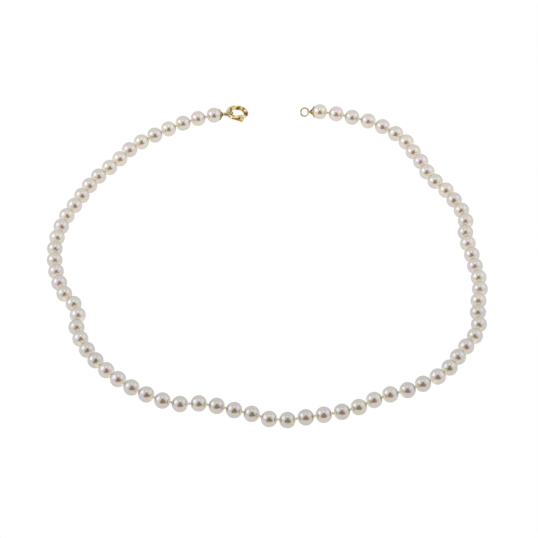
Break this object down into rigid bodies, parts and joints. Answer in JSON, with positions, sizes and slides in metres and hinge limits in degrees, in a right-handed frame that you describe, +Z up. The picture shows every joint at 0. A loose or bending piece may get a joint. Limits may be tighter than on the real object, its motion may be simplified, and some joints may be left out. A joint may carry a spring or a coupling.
{
  "type": "pearl necklace",
  "caption": "Single strand of round white pearls knotted on silk, with gold bell caps, a spring-ring clasp and a jump ring.",
  "frame": {"origin": "middle of the strand's footprint, on the surface it lies on", "axes": "+Z up off the surface; +Y from the bottom of the drop to the two open ends; +X to the right, towards the jump-ring half"},
  "size_m": [0.1608, 0.1826, 0.0058],
  "materials": {
    "pearl": "nacre, high lustre",
    "silk": "twisted cream silk",
    "gold": "polished yellow gold",
    "spring_steel": "drawn wire"
  },
  "bodies": {
    "link_01": {"pearl_pair_01": "pearl", "left_bell_cap": "gold", "left_end_knot": "silk"},
    "link_02": {"pearl_pair_02": "pearl"},
    "link_03": {"pearl_pair_03": "pearl"},
    "link_04": {"pearl_pair_04": "pearl"},
    "link_05": {"pearl_pair_05": "pearl"},
    "link_06": {"pearl_pair_06": "pearl"},
    "link_07": {"pearl_pair_07": "pearl"},
    "link_08": {"pearl_pair_08": "pearl"},
    "link_09": {"pearl_pair_09": "pearl"},
    "link_10": {"pearl_pair_10": "pearl"},
    "link_11": {"pearl_pair_11": "pearl"},
    "link_12": {"pearl_pair_12": "pearl"},
    "link_13": {"pearl_pair_13": "pearl"},
    "link_14": {"pearl_pair_14": "pearl"},
    "link_15": {"pearl_pair_15": "pearl"},
    "link_16": {"pearl_pair_16": "pearl"},
    "link_17": {"pearl_pair_17": "pearl"},
    "link_18": {"pearl_pair_18": "pearl"},
    "link_19": {"pearl_pair_19": "pearl"},
    "link_20": {"pearl_pair_20": "pearl"},
    "link_21": {"pearl_pair_21": "pearl"},
    "link_22": {"pearl_pair_22": "pearl"},
    "link_23": {"pearl_pair_23": "pearl"},
    "link_24": {"pearl_pair_24": "pearl"},
    "link_25": {"pearl_pair_25": "pearl"},
    "link_26": {"pearl_pair_26": "pearl"},
    "link_27": {"pearl_pair_27": "pearl"},
    "link_28": {"pearl_pair_28": "pearl"},
    "link_29": {"pearl_pair_29": "pearl"},
    "link_30": {"pearl_pair_30": "pearl"},
    "link_31": {"pearl_pair_31": "pearl"},
    "link_32": {"pearl_pair_32": "pearl"},
    "link_33": {"pearl_pair_33": "pearl"},
    "link_34": {"pearl_pair_34": "pearl"},
    "link_35": {"pearl_pair_35": "pearl"},
    "link_36": {"pearl_pair_36": "pearl"},
    "link_37": {"pearl_pair_37": "pearl"},
    "link_38": {"pearl_pair_38": "pearl", "right_bell_cap": "gold", "right_end_knot": "silk"},
    "clasp_link": {"clasp_link": "gold"},
    "clasp": {"clasp_ring": "gold", "clasp_spring": "spring_steel"},
    "clasp_bolt": {"clasp_bolt": "gold", "clasp_trigger": "gold"},
    "end_ring": {"end_ring": "gold"}
  },
  "joints": [
    {"name": "clasp_bolt_draw", "type": "hinge", "parent": "clasp", "child": "clasp_bolt", "pos_m": [-0.01119, 0.08704, 0.0012], "axis": [0.0972, 0.0384, 0.9945], "range_deg": [-44, 0], "stiffness_Nm_per_rad": 0.002, "springref_deg": 8.59, "deforming": ["clasp_spring"]},
    {"name": "clasp_link_swing", "type": "hinge", "parent": "link_01", "child": "clasp_link", "pos_m": [-0.01587, 0.08519, 0.0021], "axis": [-0.3237, 0.4096, -0.8529], "range_deg": [-40, 40]},
    {"name": "clasp_slide", "type": "hinge", "parent": "clasp_link", "child": "clasp", "pos_m": [-0.01119, 0.08704, 0.0012], "axis": [-0.0972, -0.0384, -0.9945], "range_deg": [-40, 40]},
    {"name": "end_ring_swing", "type": "hinge", "parent": "link_38", "child": "end_ring", "pos_m": [0.01633, 0.0868, 0.00186], "axis": [-0.0004, -0.6777, -0.7354], "range_deg": [-50, 50]},
    {"name": "knot_01_side", "type": "hinge", "parent": "link_02", "child": "link_01", "pos_m": [-0.02901, 0.08, 0.00287], "axis": [0, 0, 1], "range_deg": [-35, 35]},
    {"name": "knot_02_lift", "type": "hinge", "parent": "link_03", "child": "link_02", "pos_m": [-0.0399, 0.07307, 0.00287], "axis": [0.5961, -0.8029, 0], "range_deg": [-35, 35]},
    {"name": "knot_03_side", "type": "hinge", "parent": "link_04", "child": "link_03", "pos_m": [-0.04967, 0.06465, 0.00287], "axis": [0, 0, -1], "range_deg": [-35, 35]},
    {"name": "knot_04_lift", "type": "hinge", "parent": "link_05", "child": "link_04", "pos_m": [-0.05721, 0.05417, 0.00287], "axis": [-0.816, 0.5781, 0], "range_deg": [-35, 35]},
    {"name": "knot_05_side", "type": "hinge", "parent": "link_06", "child": "link_05", "pos_m": [-0.06461, 0.04357, 0.00287], "axis": [0, 0, -1], "range_deg": [-35, 35]},
    {"name": "knot_06_lift", "type": "hinge", "parent": "link_07", "child": "link_06", "pos_m": [-0.07013, 0.03192, 0.00287], "axis": [0.9175, -0.3978, 0], "range_deg": [-35, 35]},
    {"name": "knot_07_side", "type": "hinge", "parent": "link_08", "child": "link_07", "pos_m": [-0.07487, 0.0199, 0.00287], "axis": [0, 0, 1], "range_deg": [-35, 35]},
    {"name": "knot_08_lift", "type": "hinge", "parent": "link_09", "child": "link_08", "pos_m": [-0.07731, 0.00723, 0.00287], "axis": [-0.9966, 0.082, 0], "range_deg": [-35, 35]},
    {"name": "knot_09_side", "type": "hinge", "parent": "link_10", "child": "link_09", "pos_m": [-0.07697, -0.00567, 0.00287], "axis": [0, 0, 1], "range_deg": [-35, 35]},
    {"name": "knot_10_lift", "type": "hinge", "parent": "link_11", "child": "link_10", "pos_m": [-0.07406, -0.01824, 0.00287], "axis": [0.9446, 0.3282, 0], "range_deg": [-35, 35]},
    {"name": "knot_11_side", "type": "hinge", "parent": "link_12", "child": "link_11", "pos_m": [-0.06855, -0.0299, 0.00287], "axis": [0, 0, -1], "range_deg": [-35, 35]},
    {"name": "knot_12_lift", "type": "hinge", "parent": "link_13", "child": "link_12", "pos_m": [-0.06704, -0.04273, 0.00287], "axis": [-0.9666, -0.2563, 0], "range_deg": [-35, 35]},
    {"name": "knot_13_side", "type": "hinge", "parent": "link_14", "child": "link_13", "pos_m": [-0.06202, -0.05455, 0.00287], "axis": [0, 0, -1], "range_deg": [-35, 35]},
    {"name": "knot_14_lift", "type": "hinge", "parent": "link_15", "child": "link_14", "pos_m": [-0.05427, -0.06488, 0.00287], "axis": [0.734, 0.6791, 0], "range_deg": [-35, 35]},
    {"name": "knot_15_side", "type": "hinge", "parent": "link_16", "child": "link_15", "pos_m": [-0.04458, -0.07339, 0.00287], "axis": [0, 0, 1], "range_deg": [-22, 35]},
    {"name": "knot_16_lift", "type": "hinge", "parent": "link_17", "child": "link_16", "pos_m": [-0.03312, -0.07928, 0.00287], "axis": [-0.2805, -0.9598, 0], "range_deg": [-35, 35]},
    {"name": "knot_17_side", "type": "hinge", "parent": "link_18", "child": "link_17", "pos_m": [-0.02031, -0.08049, 0.00287], "axis": [0, 0, 1], "range_deg": [-6, 35]},
    {"name": "knot_18_lift", "type": "hinge", "parent": "link_19", "child": "link_18", "pos_m": [-0.00799, -0.08426, 0.00287], "axis": [0.2965, 0.955, 0], "range_deg": [-35, 35]},
    {"name": "knot_19_side", "type": "hinge", "parent": "link_19", "child": "link_20", "pos_m": [0.00433, -0.08814, 0.00287], "axis": [0, 0, -1], "range_deg": [-6, 35]},
    {"name": "knot_20_lift", "type": "hinge", "parent": "link_20", "child": "link_21", "pos_m": [0.01704, -0.08636, 0.00287], "axis": [0.2014, -0.9795, 0], "range_deg": [-35, 35]},
    {"name": "knot_21_side", "type": "hinge", "parent": "link_21", "child": "link_22", "pos_m": [0.0295, -0.08296, 0.00287], "axis": [0, 0, -1], "range_deg": [-6, 35]},
    {"name": "knot_22_lift", "type": "hinge", "parent": "link_22", "child": "link_23", "pos_m": [0.04076, -0.07665, 0.00287], "axis": [-0.451, 0.8925, 0], "range_deg": [-35, 35]},
    {"name": "knot_23_side", "type": "hinge", "parent": "link_23", "child": "link_24", "pos_m": [0.05253, -0.07132, 0.00287], "axis": [0, 0, 1], "range_deg": [-35, 7]},
    {"name": "knot_24_lift", "type": "hinge", "parent": "link_24", "child": "link_25", "pos_m": [0.06279, -0.06353, 0.00287], "axis": [0.7341, -0.6791, 0], "range_deg": [-35, 35]},
    {"name": "knot_25_side", "type": "hinge", "parent": "link_25", "child": "link_26", "pos_m": [0.06976, -0.0527, 0.00287], "axis": [0, 0, 1], "range_deg": [-35, 35]},
    {"name": "knot_26_lift", "type": "hinge", "parent": "link_26", "child": "link_27", "pos_m": [0.07553, -0.04118, 0.00287], "axis": [-0.9634, 0.268, 0], "range_deg": [-35, 35]},
    {"name": "knot_27_side", "type": "hinge", "parent": "link_27", "child": "link_28", "pos_m": [0.07654, -0.02832, 0.00287], "axis": [0, 0, -1], "range_deg": [-35, 35]},
    {"name": "knot_28_lift", "type": "hinge", "parent": "link_28", "child": "link_29", "pos_m": [0.0775, -0.01543, 0.00287], "axis": [0.9997, 0.0243, 0], "range_deg": [-35, 35]},
    {"name": "knot_29_side", "type": "hinge", "parent": "link_29", "child": "link_30", "pos_m": [0.07592, -0.00262, 0.00287], "axis": [0, 0, -1], "range_deg": [-35, 35]},
    {"name": "knot_30_lift", "type": "hinge", "parent": "link_30", "child": "link_31", "pos_m": [0.07397, 0.01015, 0.00287], "axis": [-0.995, -0.0997, 0], "range_deg": [-35, 35]},
    {"name": "knot_31_side", "type": "hinge", "parent": "link_31", "child": "link_32", "pos_m": [0.07334, 0.02304, 0.00287], "axis": [0, 0, 1], "range_deg": [-35, 35]},
    {"name": "knot_32_lift", "type": "hinge", "parent": "link_32", "child": "link_33", "pos_m": [0.06881, 0.0351, 0.00287], "axis": [0.8986, 0.4388, 0], "range_deg": [-35, 35]},
    {"name": "knot_33_side", "type": "hinge", "parent": "link_33", "child": "link_34", "pos_m": [0.06207, 0.04612, 0.00287], "axis": [0, 0, 1], "range_deg": [-35, 35]},
    {"name": "knot_34_lift", "type": "hinge", "parent": "link_34", "child": "link_35", "pos_m": [0.05715, 0.05806, 0.00287], "axis": [-0.9099, -0.4148, 0], "range_deg": [-35, 35]},
    {"name": "knot_35_side", "type": "hinge", "parent": "link_35", "child": "link_36", "pos_m": [0.05138, 0.06957, 0.00287], "axis": [0, 0, -1], "range_deg": [-35, 35]},
    {"name": "knot_36_lift", "type": "hinge", "parent": "link_36", "child": "link_37", "pos_m": [0.04183, 0.07818, 0.00287], "axis": [0.5385, 0.8426, 0], "range_deg": [-35, 35]},
    {"name": "knot_37_side", "type": "hinge", "parent": "link_37", "child": "link_38", "pos_m": [0.02997, 0.08326, 0.00287], "axis": [0, 0, -1], "range_deg": [-35, 35]}
  ]
}
